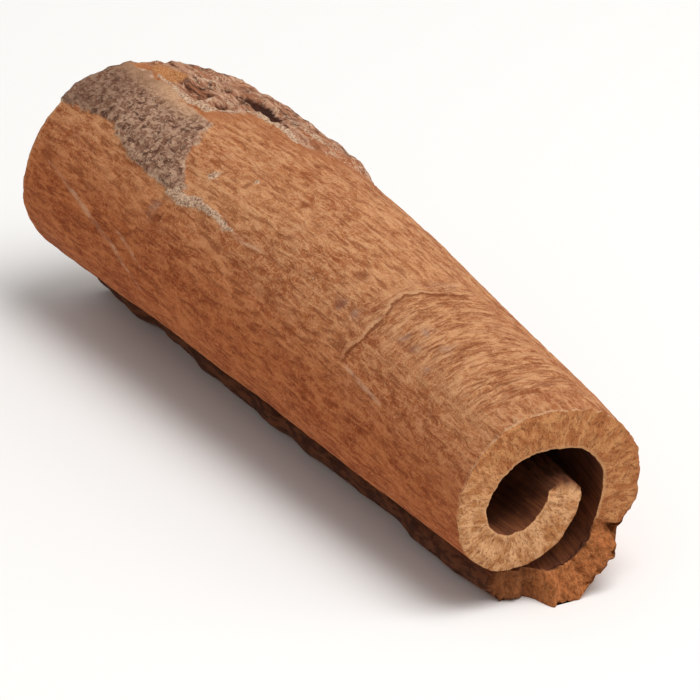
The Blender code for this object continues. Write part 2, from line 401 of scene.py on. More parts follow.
def zoneOf(bark, low, high, soft):
    # 1 inside a span of mm round and along, fading to nothing over the soft width
    u, v = bark["round"], bark["points"][:, 1]
    across = fade(low[0] - soft, low[0] + soft, u) * (1.0 - fade(high[0] - soft, high[0] + soft, u))
    return across * fade(low[1] - soft, low[1] + soft, v) * (1.0 - fade(high[1] - soft, high[1] + soft, v))


def wearGroups(piece, bark):
    outer = bark["outerShare"] ** 3
    onOuter = outer * fade(1.3, 1.9, bark["place"])
    onInner = (1.0 - bark["outerShare"]) ** 3
    paintGroup(piece, "wholeWall", np.full_like(outer, 1.0))
    paintGroup(piece, "outerFace", outer)
    paintGroup(piece, "innerFace", onInner)
    paintGroup(piece, "wrinkles", onOuter * zoneOf(bark, (-2.0, -34.0), (9.0, -12.0), 1.8))
    paintGroup(piece, "topFelt", onOuter * zoneOf(bark, (-4.0, -36.0), (16.0, 18.0), 3.0))
    return onOuter


def wearOuterFace(piece, bark):
    before = readPoints(piece)[:, 2]
    makeActive(piece)
    roughen(piece, "swell", (9.0, 15.0), 0.55, "wholeWall", 1)
    swollen = readPoints(piece)[:, 2]
    roughen(piece, "ridges", (2.4, 17.0), 0.26, "outerFace", 1)
    roughen(piece, "fibres", (0.9, 4.6), 0.19, "outerFace", 2)
    roughen(piece, "felt", (1.0, 1.5), 0.13, "outerFace", 2)
    roughen(piece, "wrinkle", (3.2, 0.8), 0.34, "wrinkles", 2)
    roughen(piece, "topCrease", (2.6, 1.1), 0.10, "topFelt", 2)
    roughen(piece, "innerRibs", (1.6, 14.0), 0.22, "innerFace", 2)
    worn = readPoints(piece)[:, 2]
    relief = (worn - before) / mm
    saveAttribute(piece, "fineHeight", (worn - swollen) / mm)

    # what grew on the face and what was torn from it
    u, v = bark["round"], bark["points"][:, 1]
    warpU = grainNoise(u, v, 1.6, 1.9, 3.1) * 0.35 + grainNoise(u, v, 0.5, 0.6, 5.7) * 0.14
    warpV = grainNoise(u, v, 1.6, 1.9, 8.3) * 0.40 + grainNoise(u, v, 0.5, 0.6, 1.9) * 0.16
    uw, vw = u + warpU, v + warpV
    face = fade(0.80, 0.97, bark["outerShare"]) * fade(1.2, 1.6, bark["place"])
    cork = insideDistance(uw, vw, marks["corkEdge"])
    frayed = fade(13.0, 17.0, u) * grainNoise(u, v, 1.5, 5.0, 2.7) * 3.2
    rough = insideDistance(uw, vw + frayed, marks["roughEdge"])
    crust = np.full_like(u, -9.0)
    for points, width in marks["crustLines"]:
        crust = np.maximum(crust, strokeDistance(uw, vw, points, width))
    crack = strokeDistance(u + warpU * 1.2, v + warpV * 1.2, marks["slit"], 2.1)
    slit = fade(-0.15, 0.45, crack)
    hollow = np.full_like(u, -9.0)
    for hollowU, hollowV, halfU, halfV in marks["hollows"]:
        off = np.hypot((u + warpU * 1.2 - hollowU) / halfU, (v + warpV * 1.2 - hollowV) / halfV)
        hollow = np.maximum(hollow, (1.0 - off) * min(halfU, halfV))
    for points, width in marks["barkCracks"]:
        line = strokeDistance(u + warpU * 0.7, v + warpV * 0.7, points, width)
        relief -= face * 0.45 * fade(-0.2, 0.3, line)
        crack = np.maximum(crack, line - 0.06)
    fine = np.full_like(u, -9.0)
    for points in marks["fineCracks"]:
        fine = np.maximum(fine, strokeDistance(u + warpU * 0.3, v + warpV * 0.6, points, 0.26))
    relief -= face * 0.10 * fade(-0.25, 0.1, fine)
    scratch = np.full_like(u, -9.0)
    for points, width in marks["scratches"]:
        scratch = np.maximum(scratch, strokeDistance(u + warpU * 0.12, v, points, width))
    relief += face * 0.03 * fade(-0.15, 0.1, scratch)

    lumps = grainNoise(u, v, 0.7, 1.1, 4.4)
    plates = grainNoise(u, v, 1.5, 4.0, 6.6)
    grains = grainNoise(u, v, 0.45, 0.5, 2.2)
    relief += face * fade(-0.05, 0.30, cork) * (0.24 + 0.10 * lumps + 0.05 * grains)
    lift = (0.12 + 0.38 * fade(6.0, 12.0, u)) * (1.0 - 1.3 * fade(29.0, 35.0, v))
    lift *= fade(-0.1, 1.6, rough)
    relief += face * fade(-0.05, 0.35, rough) * (lift + 0.16 * plates + 0.13 * lumps)
    relief -= face * 0.24 * fade(-0.1, 0.35, hollow)
    relief -= face * slit * (0.66 + 0.16 * lumps + 0.10 * plates)
    # the outer layer is chipped off below the notch
    fromNear = v + scroll["cutLength"] / 2 + grainNoise(u, v * 0, 1.1, 1.0, 6.9) * 1.4
    chipped = 0.6 * fade(5.46, 5.74, bark["place"]) + 0.4 * fade(5.80, 5.88, bark["place"])
    chipped *= (1.0 - fade(6.45, 6.80, bark["place"])) * (1.0 - fade(1.6, 4.2, fromNear)) * fade(0.45, 1.0, bark["outerShare"])
    relief -= chipped * (0.85 + 0.15 * lumps + 0.08 * grains)
    nearRim = (1.0 - fade(0.0, 2.2, v + scroll["cutLength"] / 2)) * fade(3.0, 8.0, u)
    relief += face * nearRim * (0.20 * grainNoise(u, v, 0.8, 1.0, 9.9) + 0.10 * grains)
    relief += face * fade(-0.10, 0.22, crust) * (0.16 + 0.10 * lumps + 0.06 * grains)
    # mm above the edge where a thin layer peeled away, and how plain that edge is there
    peelU, peelV = np.array(marks["peelEdge"]).T
    peelAbove = v + warpV * 0.5 - np.interp(u, peelU, peelV)
    peelShare = fade(-6.6, -5.0, u) * (1.0 - fade(6.0, 9.5, u))
    peelStep = (1.0 - fade(-0.18, 0.12, peelAbove)) * fade(-9.0, -1.0, peelAbove)
    relief += face * peelShare * (0.02 * np.exp(-((peelAbove - 0.3) / 0.35) ** 2) - 0.10 * peelStep)

    speck = np.full_like(u, -9.0)
    for pitU, pitV in marks["pits"]:
        off = np.hypot(u - pitU, (v - pitV) * 0.9)
        relief += face * (0.07 * np.exp(-((off - 0.52) / 0.16) ** 2) - 0.26 * np.exp(-(off / 0.30) ** 2))
        crack = np.maximum(crack, 0.20 - off)
    for spotU, spotV, size in marks["specks"]:
        off = np.hypot(uw - spotU, (vw - spotV) * 0.8)
        relief += face * 0.12 * (1.0 - fade(0.2 * size, size, off))
        speck = np.maximum(speck, size * 0.7 - off)
    for spotU, spotV, size, depth in marks["dimples"]:
        off = np.hypot((uw - spotU) * 0.75, vw - spotV)
        relief -= face * depth * (1.0 - fade(0.0, size, off))
    smudge = np.zeros_like(u)
    for spotU, spotV, size in marks["smudges"]:
        smudge = np.maximum(smudge, 1.0 - fade(0.1 * size, size * 1.3, np.hypot(uw - spotU, (vw - spotV) * 1.4)))
    darkSpot = np.zeros_like(u)
    for spotU, spotV, size in marks["darkSpots"]:
        darkSpot = np.maximum(darkSpot, 1.0 - fade(0.3 * size, size, np.hypot((uw - spotU) * 0.9, vw - spotV)))
    spotU, spotV, size = marks["bareSpot"]
    bare = size - np.hypot(uw - spotU, (vw - spotV) * 0.7)

    onOuter = fade(0.5, 0.9, bark["outerShare"])
    saveAttribute(piece, "corkInside", cork)
    saveAttribute(piece, "roughInside", rough)
    saveAttribute(piece, "crustInside", np.maximum(crust, speck))
    saveAttribute(piece, "crackInside", crack)
    saveAttribute(piece, "hollowInside", hollow)
    saveAttribute(piece, "fineCrack", fine)
    saveAttribute(piece, "peelAbove", np.clip(peelAbove, -2.0, 2.0))
    saveAttribute(piece, "peelShare", peelShare * face)
    saveAttribute(piece, "rimShare", (1.0 - fade(0.05, 0.55, bark["fromCut"])) * face)
    saveAttribute(piece, "scratch", scratch)
    saveAttribute(piece, "wrinkleShare", zoneOf(bark, (-2.0, -34.0), (9.0, -12.0), 1.8) * onOuter)
    saveAttribute(piece, "longEdge", bark["atLong"] * 1.0)
    # painted shade: how much of the side tint applies, rising round to either side of the top
    saveAttribute(piece, "sideShadeShare", np.maximum(fade(-1.0, -11.0, u), fade(13.0, 22.0, u)))
    saveAttribute(piece, "smudge", smudge)
    saveAttribute(piece, "darkSpot", darkSpot)
    saveAttribute(piece, "bareInside", bare)
    saveAttribute(piece, "outerShare", bark["outerShare"])
    saveAttribute(piece, "torn", np.maximum(fade(5.75, 5.95, bark["place"]) * bark["atNear"], fade(0.05, 0.5, chipped)))
    print("outer face worn")
    return relief


def frayEnds(bark):
    # how far the points of the cut ends stand out along the stick, in mm
    place, share = bark["place"], bark["outerShare"]
    u, w = bark["round"], share * bark["wall"]
    reach = grainNoise(u, w, 0.45, 0.40, 9.2) * 0.07 + grainNoise(u, w, 1.5, 1.3, 3.9) * 0.09
    reach += grainNoise(u, w, 4.0, 8.0, 1.3) * 0.10
    # the outer rim crumbles, most of all on the right; the bore's rim stays crisp
    outerRim = 1.0 - fade(0.0, 0.09, 1.0 - share)
    innerRim = 1.0 - fade(0.0, 0.06, share)
    loose = 0.35 + 0.65 * fade(4.0, 10.0, u)
    crumble = 0.14 + loose * (grainNoise(u, w * 0, 1.3, 1.0, 7.4) * 0.22 + grainNoise(u, w * 0, 0.45, 1.0, 2.8) * 0.12)
    reach -= outerRim * np.clip(crumble, 0.03, 0.6) + innerRim * 0.08
    torn = fade(5.75, 6.0, place) * bark["atNear"]
    reach += torn * (grainNoise(u, w, 0.9, 1.3, 5.5) * 0.42 + grainNoise(u, w, 0.4, 0.6, 6.1) * 0.20)
    notch = np.exp(-((place - 5.86 - 0.05 * share) / 0.05) ** 2)
    reach -= notch * bark["atNear"] * (0.4 + 0.7 * share)
    reach -= torn * (1.0 - fade(6.9, 7.1, place)) * 0.35
    return reach * (bark["atNear"] * -1.0 + bark["atFar"] * 1.0)


def frayLongEdges(bark):
    # the two long edges dried wavy and a little torn, never further out than the sheet
    y, w = bark["points"][:, 1], bark["outerShare"] * bark["wall"]
    outerEdge = fade(7.6, 9.0, bark["place"])
    wave = grainNoise(y, w * 0, 11.0, 1.0, 4.7) * 0.45 + grainNoise(y, w * 0, 3.4, 1.0, 8.8) * 0.20 - 0.4
    nibble = bark["atLong"] * (grainNoise(y, w, 3.0, 0.45, 3.3) * 0.12 - 0.06)
    return np.minimum(outerEdge * wave, 0.0) + nibble * np.where(bark["atLip"], -1.0, 1.0)


def rollUp(piece, bark, relief):
    points = bark["points"] + bark["out"] * relief[:, None] + bark["ahead"] * frayLongEdges(bark)[:, None]
    points[:, 1] += frayEnds(bark)
    points[:, 2] = np.maximum(points[:, 2], 0.0)
    writePoints(piece, points * mm)
    # every point keeps its own place in the bark: mm round, along and through
    through = bark["outerShare"] * bark["wall"]
    saveAttribute(piece, "barkPlace", np.stack([bark["round"], bark["points"][:, 1], through], 1))
    makeActive(piece)
    bpy.ops.object.shade_smooth()
    print("rolled up, points", len(points))


def thinHiddenFaces(piece, bark):
    # the inside of the curl and the face it stands on need fewer points
    inside = 1.0 - fade(0.35, 0.75, bark["outerShare"])
    hidden = np.maximum(inside, 1.0 - fade(0.9, 1.3, bark["place"]))
    hidden = np.maximum(hidden, fade(6.3, 6.8, bark["place"]))
    hidden *= fade(sheet["thinFrom"], sheet["thinFrom"] + 4.0, bark["fromCut"])
    paintGroup(piece, "hidden", hidden)
    before = len(piece.data.polygons)
    thin = piece.modifiers.new("thinHidden", "DECIMATE")
    thin.ratio = sheet["keptShare"]
    thin.vertex_group = "hidden"
    thin.vertex_group_factor = 1.0
    bpy.ops.object.modifier_apply(modifier=thin.name)
    print("thinned", before, "to", len(piece.data.polygons))


def layBakeMap(piece):
    # the sheet laid flat: outer face above inner face, with the cuts as strips below
    data = piece.data
    corners = np.zeros(len(data.loops), int)
    data.loops.foreach_get("vertex_index", corners)
    place = np.zeros(len(data.vertices) * 3)
    data.attributes["barkPlace"].data.foreach_get("vector", place)
    place = place.reshape(-1, 3)
    starts = np.zeros(len(data.polygons), int)
    sizes = np.zeros(len(data.polygons), int)
    kinds = np.zeros(len(data.polygons), int)
    data.polygons.foreach_get("loop_start", starts)
    data.polygons.foreach_get("loop_total", sizes)
    data.polygons.foreach_get("material_index", kinds)
    kind = np.repeat(kinds, sizes)
    face = np.repeat(np.arange(len(kinds)), sizes)
    middle = np.stack([np.bincount(face, place[corners, axis]) / sizes for axis in range(3)], 1)
    roundAt, along, through = [place[corners, axis] for axis in range(3)]
    low, high = place.min(0), place.max(0)
    across = (roundAt - low[0]) / (high[0] - low[0]) * 0.96 + 0.02
    lengthwise = (along - low[1]) / (high[1] - low[1])
    deep = through / high[2]
    spread = np.stack([across, 0.52 + 0.46 * lengthwise], 1)
    spread[kind == 1, 1] = 0.25 + 0.25 * lengthwise[kind == 1]
    ends = np.abs(middle[face, 1]) > scroll["cutLength"] / 2 - 2.6
    cut = kind == 2
    nearCut = cut & ends & (middle[face, 1] < 0)
    farCut = cut & ends & (middle[face, 1] > 0)
    edge = cut & ~ends
    spread[nearCut, 1] = 0.02 + 0.06 * deep[nearCut]
    spread[farCut, 1] = 0.10 + 0.06 * deep[farCut]
    half = np.where(middle[face, 0] < 0, 0.02, 0.51)
    spread[edge, 0] = half[edge] + 0.46 * lengthwise[edge]
    spread[edge, 1] = 0.18 + 0.05 * deep[edge]
    layer = data.uv_layers.new(name="OFBake")
    layer.data.foreach_set("uv", spread.astype(np.float32).ravel())
    print("bake map laid out")


def toLinear(hexColour):
    parts = [int(hexColour[at:at + 2], 16) / 255 for at in (1, 3, 5)]
    return [part / 12.92 if part <= 0.04045 else ((part + 0.055) / 1.055) ** 2.4 for part in parts] + [1.0]


def addNode(tree, kind, settings={}, links={}, **properties):
    node = tree.nodes.new(kind)
    for name, value in properties.items():
        setattr(node, name, value)
    for name, value in settings.items():
        node.inputs[name].default_value = value
    for name, source in links.items():
        tree.links.new(source, node.inputs[name])
    return node


def startMaterial(name):
    material = bpy.data.materials.new(name)
    material.use_nodes = True
    material.node_tree.nodes.clear()
    return material, material.node_tree


# Dried cassia bark as the tree wore it: a dull felt of fibres about half a millimetre
# wide, with grey old cork left in places. No gloss, only a faint silky lift.
outerBark = {
    "bark": "#af7146", "barkPale": "#d49e71", "barkRed": "#9e5c33", "barkDeep": "#7c3f1e",
    "cork": "#7c5541", "corkPale": "#ad8970", "corkDark": "#523224", "corkTan": "#c99c76",
    "rough": "#8f5c40", "roughPale": "#b98c70", "roughDark": "#452415",
    "crust": "#d2b092", "crack": "#351a10", "line": "#733d1f", "lineLip": "#dcac82",
    "smudge": "#8b7873", "bare": "#bf8b5a", "rim": "#dcb48e", "scratched": "#cb9c7c", "torn": "#b06c3b", "tornDeep": "#834b24",
    "sideShade": "#f5ceaf",                # painted shade: a darker, redder tint multiplied onto the sides, for the shade they lie in
    "roughness": 0.92,
}

# the same bark where it was cut: short broken fibres and pores, more orange than the outside
cutBark = {
    "cut": "#a96638", "cutPale": "#c98b57", "cutDeep": "#763e1d", "skin": "#90562f",
    "lip": "#b67a49", "lipPale": "#dda777",
    "torn": "#b66c3a", "tornDeep": "#894e26", "pore": "#4a2411", "edge": "#6f4025", "edgeDeep": "#4a2614",
    "roughness": 0.9,
}

# the inside of the curl, once against the wood: smoother, dark red-brown, ribbed lengthwise
innerBark = {
    "inner": "#66351e", "innerPale": "#854d2a", "innerDeep": "#432012",
    "roughness": 0.8,
}


def makeOuterBark():
    material, tree = startMaterial("dried cassia bark, outer face")
    place = addNode(tree, "ShaderNodeAttribute", attribute_name="barkPlace").outputs["Vector"]

    def grain(sizeRound, sizeAlong, detail=3.0, roughness=0.55, distortion=0.0, turn=0.0, shift=0.0):
        spread = addNode(tree, "ShaderNodeMapping", {"Scale": (1 / sizeRound, 1 / sizeAlong, 1 / sizeRound),
                         "Rotation": (0.0, 0.0, turn), "Location": (shift, shift, shift)}, {"Vector": place})
        return addNode(tree, "ShaderNodeTexNoise", {"Scale": 1.0, "Detail": detail, "Roughness": roughness,
                       "Distortion": distortion}, {"Vector": spread.outputs[0]}).outputs[0]

    def ramp(value, start, end, low=0.0, high=1.0):
        return addNode(tree, "ShaderNodeMapRange", {"From Min": start, "From Max": end, "To Min": low, "To Max": high},
                       {"Value": value}, interpolation_type="SMOOTHSTEP").outputs[0]

    def mix(share, below, above):
        node = addNode(tree, "ShaderNodeMixRGB", {}, {"Fac": share})
        for name, colour in (("Color1", below), ("Color2", above)):
            if isinstance(colour, str):
                node.inputs[name].default_value = toLinear(outerBark[colour])
            else:
                tree.links.new(colour, node.inputs[name])
        return node.outputs[0]

    def maths(operation, first, second=0.0, third=0.0):
        node = addNode(tree, "ShaderNodeMath", operation=operation)
        for index, value in enumerate((first, second, third)):
            if isinstance(value, (int, float)):
                node.inputs[index].default_value = value
            else:
                tree.links.new(value, node.inputs[index])
        return node.outputs[0]

    def worn(name):
        return addNode(tree, "ShaderNodeAttribute", attribute_name=name).outputs["Fac"]

    def mask(name, soft, low=-0.1, wander=0.3, size=0.45):
        # the mark's own outline, broken up by grains of the given size
        edge = maths("MULTIPLY_ADD", grain(size, size * 1.3, 3.0, 0.6), wander * 2, maths("SUBTRACT", worn(name), wander))
        return ramp(edge, low, low + soft)

    fibres = grain(0.50, 2.4, 3.0, 0.62, 0.7)
    felt = grain(0.70, 1.15, 4.0, 0.62, 1.2, 0.0, 7.0)
    worms = maths("ABSOLUTE", maths("SUBTRACT", felt, 0.5))
    wrinkles = grain(1.5, 0.46, 3.0, 0.62, 0.9, 0.0, 5.0)
    folds = grain(2.8, 1.0, 2.0, 0.55, 0.8, 0.0, 12.0)
    crumbs = grain(0.16, 0.22, 3.0, 0.7)
    blotches = grain(4.5, 8.0, 3.0, 0.5, 0.4)
    patches = grain(1.5, 3.0, 3.0, 0.6, 0.8, 0.0, 3.0)
    height = worn("fineHeight")
    wrinkled = worn("wrinkleShare")
    plain = maths("SUBTRACT", 1.0, maths("MULTIPLY", wrinkled, 0.9))

    colour = mix(ramp(blotches, 0.38, 0.64), "barkRed", "bark")
    colour = mix(ramp(patches, 0.46, 0.72, 0.0, 0.40), colour, "barkPale")
    colour = mix(ramp(patches, 0.44, 0.30, 0.0, 0.35), colour, "barkDeep")
    colour = mix(ramp(worms, 0.0, 0.06, 0.55, 0.0), colour, "barkPale")
    colour = mix(maths("MULTIPLY", plain, ramp(fibres, 0.50, 0.66, 0.0, 0.52)), colour, "barkPale")
    colour = mix(maths("MULTIPLY", plain, ramp(fibres, 0.50, 0.36, 0.0, 0.60)), colour, "barkDeep")
    colour = mix(maths("MULTIPLY", wrinkled, ramp(wrinkles, 0.50, 0.62, 0.0, 0.60)), colour, "barkPale")
    colour = mix(maths("MULTIPLY", wrinkled, ramp(wrinkles, 0.49, 0.38, 0.0, 0.70)), colour, "barkDeep")
    colour = mix(maths("MULTIPLY", wrinkled, ramp(folds, 0.50, 0.66, 0.0, 0.42)), colour, "barkPale")
    colour = mix(maths("MULTIPLY", wrinkled, ramp(folds, 0.49, 0.36, 0.0, 0.38)), colour, "barkDeep")
    # painted shade darkens the hollows of the fine relief, and its raised spots are painted paler
    colour = mix(ramp(height, -0.02, -0.20, 0.0, 0.42), colour, "barkDeep")
    colour = mix(ramp(height, 0.03, 0.20, 0.0, 0.32), colour, "barkPale")
    colour = mix(ramp(crumbs, 0.58, 0.70, 0.0, 0.40), colour, "barkPale")
    colour = mix(ramp(crumbs, 0.42, 0.30, 0.0, 0.55), colour, "barkDeep")
    smudge = maths("MULTIPLY", worn("smudge"), ramp(patches, 0.40, 0.58, 0.1, 0.5))
    colour = mix(smudge, colour, "smudge")
    colour = mix(maths("MULTIPLY", worn("darkSpot"), 0.75), colour, "barkDeep")
    fine = mask("fineCrack", 0.20, -0.10, 0.10, 0.6)
    colour = mix(maths("MULTIPLY", fine, 0.75), colour, "line")
    # the layer that peeled away leaves a pale lip over a thin dark line
    peel = maths("MULTIPLY_ADD", wrinkles, 0.5, maths("SUBTRACT", worn("peelAbove"), 0.25))
    peelHere = worn("peelShare")
    lip = maths("MULTIPLY", ramp(peel, -0.02, 0.12), ramp(peel, 0.65, 0.30))
    under = maths("MULTIPLY", ramp(peel, -0.38, -0.18), ramp(peel, 0.06, -0.04))
    broken = maths("MULTIPLY", peelHere, ramp(patches, 0.34, 0.52, 0.35, 1.0))
    colour = mix(maths("MULTIPLY", maths("MULTIPLY", lip, broken), 0.40), colour, "lineLip")
    colour = mix(maths("MULTIPLY", maths("MULTIPLY", under, broken), 0.80), colour, "line")
    rimShare = maths("MULTIPLY", worn("rimShare"), ramp(maths("ADD", crumbs, patches), 0.88, 1.08, 0.0, 0.8))
    colour = mix(rimShare, colour, "rim")
    apart = addNode(tree, "ShaderNodeSeparateXYZ", {}, {"Vector": place})
    roundPlace, alongPlace = apart.outputs[0], apart.outputs[1]
    # painted shade: the sides are multiplied by a darker, redder tint than the top
    side = addNode(tree, "ShaderNodeMixRGB", {"Color2": toLinear(outerBark["sideShade"])},
                   {"Fac": worn("sideShadeShare"), "Color1": colour}, blend_type="MULTIPLY")
    colour = side.outputs[0]
    scratched = maths("MULTIPLY", ramp(worn("scratch"), -0.15, 0.08, 0.0, 0.62), ramp(patches, 0.38, 0.56, 0.3, 1.0))
    colour = mix(scratched, colour, "scratched")

    roughTone = mix(ramp(fibres, 0.40, 0.66), "rough", "roughPale")
    roughTone = mix(ramp(grain(0.9, 2.4, 4.0, 0.65, 0.8, 0.0, 5.0), 0.52, 0.36, 0.0, 0.9), roughTone, "roughDark")
    roughTone = mix(ramp(blotches, 0.50, 0.36, 0.0, 0.6), roughTone, "barkRed")
    roughTone = mix(ramp(crumbs, 0.56, 0.70, 0.0, 0.5), roughTone, "roughPale")
    net = maths("ABSOLUTE", maths("SUBTRACT", grain(1.6, 2.6, 4.0, 0.6, 1.4, 0.0, 8.0), 0.5))
    roughTone = mix(ramp(net, 0.03, 0.0, 0.0, 0.65), roughTone, "crust")
    hollowTone = mix(ramp(fibres, 0.40, 0.62), "roughDark", "rough")
    roughTone = mix(mask("hollowInside", 0.4, -0.1, 0.25, 0.4), roughTone, hollowTone)
    roughInside = worn("roughInside")
    colour = mix(maths("MULTIPLY", ramp(roughInside, -4.0, -0.4, 0.0, 0.6), ramp(patches, 0.35, 0.60, 0.4, 1.0)), colour, "barkRed")
    colour = mix(mask("roughInside", 0.5, -0.2, 0.4, 0.6), colour, roughTone)
    tornTone = mix(ramp(felt, 0.40, 0.62), "tornDeep", "torn")
    colour = mix(ramp(worn("torn"), 0.1, 0.7), colour, tornTone)
    bareTone = mix(ramp(crumbs, 0.35, 0.65), "barkRed", "bare")
    colour = mix(mask("bareInside", 0.5), colour, bareTone)

    corkTone = mix(ramp(grain(0.50, 0.65, 3.0, 0.6, 0.8, 0.0, 11.0), 0.40, 0.60), "cork", "corkPale")
    corkTone = mix(ramp(grain(0.70, 0.9, 3.0, 0.6, 0.8, 0.0, 2.0), 0.48, 0.36, 0.0, 0.9), corkTone, "corkDark")
    corkTan = maths("MULTIPLY", ramp(roundPlace, 1.8, 4.0, 0.0, 0.65), ramp(alongPlace, 24.0, 30.0))
    corkTone = mix(corkTan, corkTone, "corkTan")
    corkTone = mix(ramp(crumbs, 0.56, 0.68, 0.0, 0.6), corkTone, "crust")
    corkTone = mix(ramp(alongPlace, 31.0, 37.5, 0.0, 0.40), corkTone, "corkDark")
    corkInside = worn("corkInside")
    corkMask = mask("corkInside", 0.40, -0.15, 0.45, 0.5)
    colour = mix(corkMask, colour, corkTone)
    # here and there a pale rim where the cork is breaking away
    rim = maths("MULTIPLY", corkMask, ramp(corkInside, 0.38, 0.08, 0.0, 0.6))
    colour = mix(maths("MULTIPLY", rim, ramp(patches, 0.44, 0.60)), colour, "crust")

    crustTone = mix(ramp(crumbs, 0.34, 0.60), "cork", "crust")
    colour = mix(mask("crustInside", 0.22, -0.04, 0.26, 0.35), colour, crustTone)
    deep = mask("crackInside", 0.24, 0.0, 0.22, 0.4)
    colour = mix(deep, colour, mix(ramp(grain(0.5, 1.6, 3.0, 0.6, 0.0, 0.0, 4.0), 0.46, 0.64), "crack", "roughDark"))

    streaks = maths("ADD", maths("MULTIPLY", plain, fibres), maths("MULTIPLY", wrinkled, wrinkles))
    bumpHeight = maths("MULTIPLY_ADD", felt, 0.4, maths("MULTIPLY_ADD", streaks, 0.8, maths("MULTIPLY", crumbs, 0.35)))
    bump = addNode(tree, "ShaderNodeBump", {"Strength": 1.0, "Distance": 0.26 * mm}, {"Height": bumpHeight})
    shader = addNode(tree, "ShaderNodeBsdfPrincipled", {"Roughness": outerBark["roughness"], "Specular IOR Level": 0.2},
                     {"Base Color": colour, "Normal": bump.outputs[0]})
    addNode(tree, "ShaderNodeOutputMaterial", {}, {"Surface": shader.outputs[0]})
    return material


def makeCutBark():
    material, tree = startMaterial("cut cassia bark, end grain")
    place = addNode(tree, "ShaderNodeAttribute", attribute_name="barkPlace").outputs["Vector"]

    def grain(size, stretch=1.0, detail=3.0, roughness=0.6, distortion=0.0, shift=0.0):
        spread = addNode(tree, "ShaderNodeMapping", {"Scale": (1 / size, 1 / size, stretch / size),
                         "Location": (shift, shift, shift)}, {"Vector": place})
        return addNode(tree, "ShaderNodeTexNoise", {"Scale": 1.0, "Detail": detail, "Roughness": roughness,
                       "Distortion": distortion}, {"Vector": spread.outputs[0]}).outputs[0]

    def ramp(value, start, end, low=0.0, high=1.0):
        return addNode(tree, "ShaderNodeMapRange", {"From Min": start, "From Max": end, "To Min": low, "To Max": high},
                       {"Value": value}, interpolation_type="SMOOTHSTEP").outputs[0]

    def mix(share, below, above):
        node = addNode(tree, "ShaderNodeMixRGB", {}, {"Fac": share})
        for name, colour in (("Color1", below), ("Color2", above)):
            if isinstance(colour, str):
                node.inputs[name].default_value = toLinear(cutBark[colour])
            else:
                tree.links.new(colour, node.inputs[name])
        return node.outputs[0]

    def worn(name):
        return addNode(tree, "ShaderNodeAttribute", attribute_name=name).outputs["Fac"]

    clumps = grain(0.9, 0.8, 3.0, 0.55, 0.5)
    fibres = grain(0.30, 0.6, 3.0, 0.65, 0.6, 4.0)
    crumbs = grain(0.15, 1.0, 2.0, 0.7, 0.0, 9.0)
    pores = addNode(tree, "ShaderNodeTexVoronoi", {"Scale": 1 / 0.55, "Randomness": 1.0}, {"Vector": place})
    share = worn("outerShare")
    speckles = grain(0.38, 1.0, 3.0, 0.7, 0.0, 13.0)
    colour = mix(ramp(clumps, 0.36, 0.66), "cut", "cutPale")
    lipTone = mix(ramp(clumps, 0.36, 0.62), "lip", "lipPale")
    roundPlace = addNode(tree, "ShaderNodeSeparateXYZ", {}, {"Vector": place}).outputs[0]
    colour = mix(ramp(roundPlace, -2.0, -11.0, 0.0, 0.9), colour, lipTone)
    colour = mix(ramp(fibres, 0.50, 0.36, 0.0, 0.6), colour, "cutDeep")
    colour = mix(ramp(speckles, 0.42, 0.34, 0.0, 0.7), colour, "cutDeep")
    colour = mix(ramp(crumbs, 0.58, 0.70, 0.0, 0.5), colour, "lipPale")
    rightSide = ramp(roundPlace, 1.0, 6.0, 0.15, 1.0)
    skin = addNode(tree, "ShaderNodeMath", {}, {0: rightSide, 1: ramp(share, 0.80, 0.96, 0.0, 0.32)}, operation="MULTIPLY")
    colour = mix(skin.outputs[0], colour, "skin")
    colour = mix(ramp(share, 0.10, 0.02, 0.0, 0.55), colour, "lipPale")
    tornTone = mix(ramp(fibres, 0.40, 0.62), "tornDeep", "torn")
    tornTone = mix(ramp(crumbs, 0.56, 0.72, 0.0, 0.6), tornTone, "cutPale")
    # painted shade: the torn tail, set back behind the tooth, is darkened towards edgeDeep
    tornTone = mix(ramp(roundPlace, 32.0, 33.4, 0.0, 0.5), tornTone, "edgeDeep")
    colour = mix(ramp(worn("torn"), 0.2, 0.8, 0.0, 0.85), colour, tornTone)
    lengthwise = addNode(tree, "ShaderNodeMapping", {"Scale": (1 / 0.35, 1 / 3.0, 1 / 0.35)}, {"Vector": place})
    strands = addNode(tree, "ShaderNodeTexNoise", {"Scale": 1.0, "Detail": 3.0}, {"Vector": lengthwise.outputs[0]}).outputs[0]
    edgeTone = mix(ramp(strands, 0.40, 0.60), "edgeDeep", "edge")
    colour = mix(worn("longEdge"), colour, edgeTone)
    colour = mix(ramp(pores.outputs["Distance"], 0.14, 0.08, 0.0, 0.6), colour, "pore")

    raised = addNode(tree, "ShaderNodeMath", {1: 0.5}, {0: crumbs, 2: fibres}, operation="MULTIPLY_ADD")
    bump = addNode(tree, "ShaderNodeBump", {"Strength": 1.0, "Distance": 0.15 * mm}, {"Height": raised.outputs[0]})
    shader = addNode(tree, "ShaderNodeBsdfPrincipled", {"Roughness": cutBark["roughness"], "Specular IOR Level": 0.25},
                     {"Base Color": colour, "Normal": bump.outputs[0]})
    addNode(tree, "ShaderNodeOutputMaterial", {}, {"Surface": shader.outputs[0]})
    return material


